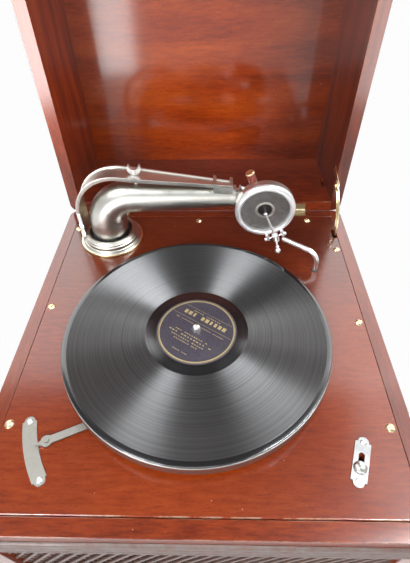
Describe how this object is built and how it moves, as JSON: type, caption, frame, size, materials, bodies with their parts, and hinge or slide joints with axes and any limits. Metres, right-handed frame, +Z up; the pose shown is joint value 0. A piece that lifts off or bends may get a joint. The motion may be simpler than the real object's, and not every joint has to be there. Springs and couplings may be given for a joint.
{
  "type": "table-top disc gramophone",
  "caption": "Table-top disc gramophone: wooden case with hinged lid, spring motor, turntable with record, swinging tone arm and tilting sound box.",
  "frame": {"origin": "middle of the case at the level of the table it stands on", "axes": "+Z up, +Y towards the hinged back, +X towards the crank side"},
  "size_m": [0.459, 0.5285, 0.607],
  "materials": {
    "mahogany": "glossy varnished mahogany",
    "dark_mahogany": "varnished dark mahogany",
    "inner_wood": "bare softwood",
    "nickel": "worn nickel plate",
    "aged_brass": "aged brass",
    "steel": "machined steel",
    "gear_brass": "cut brass",
    "iron": "black enamelled iron",
    "handle_red": "red-brown polished handle",
    "gasket_rubber": "dark rubber",
    "diaphragm_mica": "smoked mica sheet",
    "face_grey": "dark grey metal",
    "shellac": "grooved black shellac",
    "label_paper": "dark printed paper",
    "felt": "napped felt",
    "grip_wood": "dark turned wood"
  },
  "bodies": {
    "case": {"case_sides": "mahogany", "case_front": "mahogany", "front_moulding": "dark_mahogany", "grille": "dark_mahogany", "case_back": "mahogany", "case_bottom": "inner_wood", "plinth": "dark_mahogany", "board_ledges": "inner_wood", "motor_board": "mahogany", "board_screws": "aged_brass", "hinge_case_leaves": "aged_brass", "hinge_pins": "nickel", "stay_quadrant": "aged_brass", "arm_base": "nickel", "needle_rest": "nickel", "speed_plate": "nickel", "brake_plate": "nickel", "deck_screws": "nickel", "motor_plates": "iron", "motor_pillars": "steel", "crank_escutcheon": "aged_brass", "horn_throat": "iron", "horn": "inner_wood"},
    "lid": {"lid_panel": "mahogany", "lid_sides": "mahogany", "lid_ends": "mahogany", "hinge_lid_leaves": "aged_brass", "stay_finger": "aged_brass"},
    "tone_arm": {"arm_collar": "nickel", "tone_tube": "nickel", "arm_strap": "nickel", "strap_screw": "nickel", "arm_clamp": "nickel"},
    "soundbox": {"soundbox_neck": "nickel", "lock_screw": "nickel", "lift_handle": "handle_red", "soundbox_back": "nickel", "soundbox_gaskets": "gasket_rubber", "diaphragm": "diaphragm_mica", "soundbox_face": "face_grey", "soundbox_bezel": "nickel", "stylus_bar": "nickel", "stylus_screws": "nickel", "needle": "steel"},
    "turntable": {"turntable": "nickel", "turntable_felt": "felt", "spindle": "steel"},
    "record": {"record": "shellac", "record_label": "label_paper"},
    "speed_lever": {"speed_lever": "nickel"},
    "brake_knob": {"brake_knob": "nickel"},
    "brake_lever": {"brake_lever": "steel"},
    "middle_wheel": {"middle_wheel": "gear_brass"},
    "spring_barrel": {"spring_barrel": "gear_brass", "mainspring": "steel"},
    "barrel_arbor": {"barrel_arbor": "steel"},
    "governor": {"governor": "gear_brass"},
    "crank": {"winding_shaft": "steel", "crank_arm": "nickel", "crank_grip": "grip_wood"}
  },
  "joints": [
    {"name": "lid_hinge", "type": "hinge", "parent": "case", "child": "lid", "pos_m": [0, 0.191, 0.22525], "axis": [-1, 0, 0], "range_deg": [-92, 0]},
    {"name": "tone_arm_swing", "type": "hinge", "parent": "case", "child": "tone_arm", "pos_m": [-0.1142, 0.1365, 0.225], "axis": [0, 0, 1], "range_deg": [-40, 0]},
    {"name": "soundbox_tilt", "type": "hinge", "parent": "tone_arm", "child": "soundbox", "pos_m": [-0.1142, 0.1365, 0.286], "axis": [1, 0, 0], "range_deg": [-80, 0]},
    {"name": "turntable_spin", "type": "hinge", "parent": "case", "child": "turntable", "pos_m": [-0.0032, -0.0245, 0.225], "axis": [0, 0, 1], "continuous": true},
    {"name": "record_lift", "type": "slide", "parent": "turntable", "child": "record", "axis": [0, 0, 1], "range_m": [0, 0.014]},
    {"name": "speed_lever_turn", "type": "hinge", "parent": "case", "child": "speed_lever", "pos_m": [-0.0222, -0.0781, 0.225], "axis": [0, 0, 1], "range_deg": [-11, 11]},
    {"name": "brake_slide", "type": "slide", "parent": "case", "child": "brake_knob", "axis": [0.342, 0.9397, 0], "range_m": [0, 0.01]},
    {"name": "brake_lever_turn", "type": "hinge", "parent": "case", "child": "brake_lever", "pos_m": [0.0916, -0.0949, 0.225], "axis": [0, 0, 1], "range_deg": [0, 9.2]},
    {"name": "middle_wheel_spin", "type": "hinge", "parent": "case", "child": "middle_wheel", "pos_m": [-0.05022, -0.0245, 0.225], "axis": [0, 0, 1], "continuous": true},
    {"name": "spring_barrel_spin", "type": "hinge", "parent": "case", "child": "spring_barrel", "pos_m": [-0.05022, -0.07715, 0.225], "axis": [0, 0, 1], "continuous": true},
    {"name": "governor_spin", "type": "hinge", "parent": "case", "child": "governor", "pos_m": [-0.0032, 0.0028, 0.148], "axis": [1, 0, 0], "continuous": true},
    {"name": "crank_turn", "type": "hinge", "parent": "case", "child": "crank", "pos_m": [0.1795, -0.07715, 0.171], "axis": [1, 0, 0], "continuous": true},
    {"name": "barrel_arbor_turn", "type": "hinge", "parent": "case", "child": "barrel_arbor", "pos_m": [-0.05022, -0.07715, 0.225], "axis": [0, 0, 1], "continuous": true}
  ],
  "couplings": [
    {"joint": "middle_wheel_spin", "follows": "turntable_spin", "ratio": -0.25},
    {"joint": "spring_barrel_spin", "follows": "turntable_spin", "ratio": 0.041667},
    {"joint": "governor_spin", "follows": "turntable_spin", "ratio": 10},
    {"joint": "barrel_arbor_turn", "follows": "crank_turn", "ratio": -0.5},
    {"joint": "brake_lever_turn", "follows": "brake_slide", "rad_per_m": 15.9}
  ]
}
